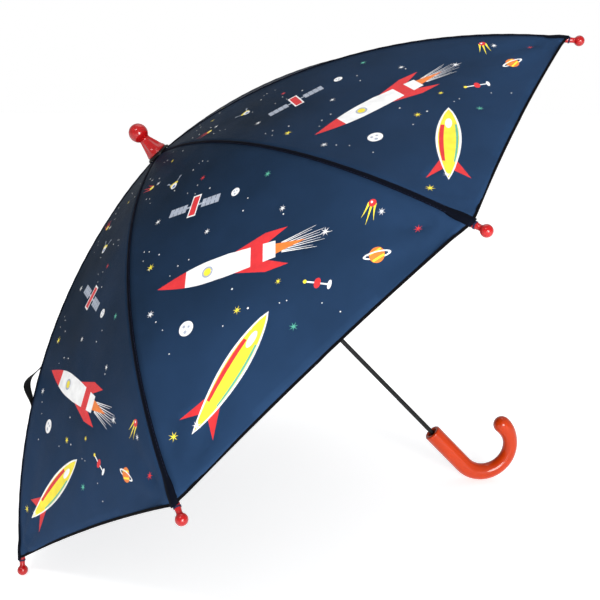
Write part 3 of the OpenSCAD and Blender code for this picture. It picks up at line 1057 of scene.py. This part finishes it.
def make_floor():
    """A white floor that is clear from below. Returns its normal."""
    point, normal = floor_plane()
    m, tree, bsdf = material("floor", (0.9, 0.9, 0.9), 0.8, Emission_Color=(1, 1, 1, 1),
                             Emission_Strength=0.56)
    vary_colour(tree, bsdf, (0.88, 0.88, 0.885), (0.91, 0.91, 0.91), 3.0)
    clear = tree.nodes.new("ShaderNodeBsdfTransparent")
    geometry = tree.nodes.new("ShaderNodeNewGeometry")
    mix = tree.nodes.new("ShaderNodeMixShader")
    tree.links.new(geometry.outputs["Backfacing"], mix.inputs["Fac"])
    tree.links.new(bsdf.outputs["BSDF"], mix.inputs[1])
    tree.links.new(clear.outputs["BSDF"], mix.inputs[2])
    tree.links.new(mix.outputs["Shader"], tree.nodes["Material Output"].inputs["Surface"])
    reach = 30.0
    along = Vector((0, 1, 0))
    across = normal.cross(along).normalized()
    corners = [point + along * a * reach + across * b * reach for a, b in SQUARE]
    floor = new_object("floor", corners, [(0, 1, 2, 3)], [m], smooth=False)
    return normal


def make_light(name, place, target, size, power):
    """A round soft light that faces its target."""
    data = bpy.data.lights.new(name, "AREA")
    data.shape = "DISK"
    data.size = size
    data.energy = power
    light = bpy.data.objects.new(name, data)
    light.location = place
    light.rotation_euler = (Vector(target) - Vector(place)).to_track_quat("-Z", "Y").to_euler()
    bpy.context.collection.objects.link(light)


def make_lights(floor_up, view, right):
    centre = Vector((0, 0, 0.33))
    make_light("front", centre + Vector((0.44, -2.15, -0.2)), centre, 1.0, 55)
    make_light("key", centre + floor_up * 1.3 - view * 1.5 - right * 0.7, centre, 0.5, 12)
    make_light("top", centre + floor_up * 2.0 + view * 0.6, centre, 1.6, 8)


def make_world(view):
    """White to the camera and along its first line of sight, and dimmer everywhere else."""
    world = bpy.data.worlds.new("studio")
    world.use_nodes = True
    tree = world.node_tree
    coord = tree.nodes.new("ShaderNodeTexCoord")
    toward = tree.nodes.new("ShaderNodeVectorMath")
    toward.operation = "DOT_PRODUCT"
    toward.inputs[1].default_value = view
    tree.links.new(coord.outputs["Generated"], toward.inputs[0])
    ahead = node(tree, "ShaderNodeMapRange", From_Min=0.6, From_Max=0.82, To_Min=ROOM_LEVEL, To_Max=1.0)
    tree.links.new(toward.outputs["Value"], ahead.inputs["Value"])
    seen = tree.nodes.new("ShaderNodeLightPath")
    level = maths(tree, "MAXIMUM", seen.outputs["Is Camera Ray"], ahead.outputs["Result"])
    background = tree.nodes["Background"]
    tree.links.new(level, background.inputs["Strength"])
    background.inputs["Color"].default_value = (1, 1, 1, 1)
    bpy.context.scene.world = world
    bpy.context.scene.view_settings.view_transform = "Standard"


def make_camera():
    """The main view: the camera's place and axes in the row frame, and its lens."""
    forward = Vector((-0.0315, 0.9637, -0.2652)).normalized()
    up = Vector((0.6882, 0.2133, 0.6934))
    up = (up - forward * up.dot(forward)).normalized()
    right = forward.cross(up)
    data = bpy.data.cameras.new("camera")
    data.sensor_width = 36.0
    data.lens = LENS_SHARE * data.sensor_width
    data.shift_x, data.shift_y = LENS_SHIFT
    data.clip_start = 0.02
    camera = bpy.data.objects.new("camera", data)
    m = Matrix((right, up, -forward)).transposed().to_4x4()
    m.translation = CAMERA_PLACE
    camera.matrix_world = m
    bpy.context.collection.objects.link(camera)
    bpy.context.scene.camera = camera
    return forward, right


# ---------------------------------------------------------------- the whole scene
view, right = make_camera()
for i in PANELS:
    panel = make_panel(i)
    binding = make_hem(i)
    fold_with_panel(panel, i)
    fold_with_panel(binding, i)
    make_seam(i)
    make_seam_lining(i)
    make_stitches(i)
    make_tip(i)
    make_thread_loop(i)
make_ferrule()
make_crown_washer()
make_handle()
make_strap()
make_patch()
repaint(["shaft", "runner_stop"], ENAMEL)
repaint(["top_notch", "runner"], BLACK_PLASTIC)
repaint(["notch_wire", "runner_wire", "top_catch", "bottom_catch"], BRIGHT_STEEL)
repaint([f"rib_pin_{i}" for i in PANELS], BRIGHT_STEEL)
repaint([f"rib_{i}" for i in PANELS] + [f"stretcher_{i}" for i in PANELS], RIB_STEEL)
floor_up = make_floor()
make_lights(floor_up, view, right)
make_world(view)
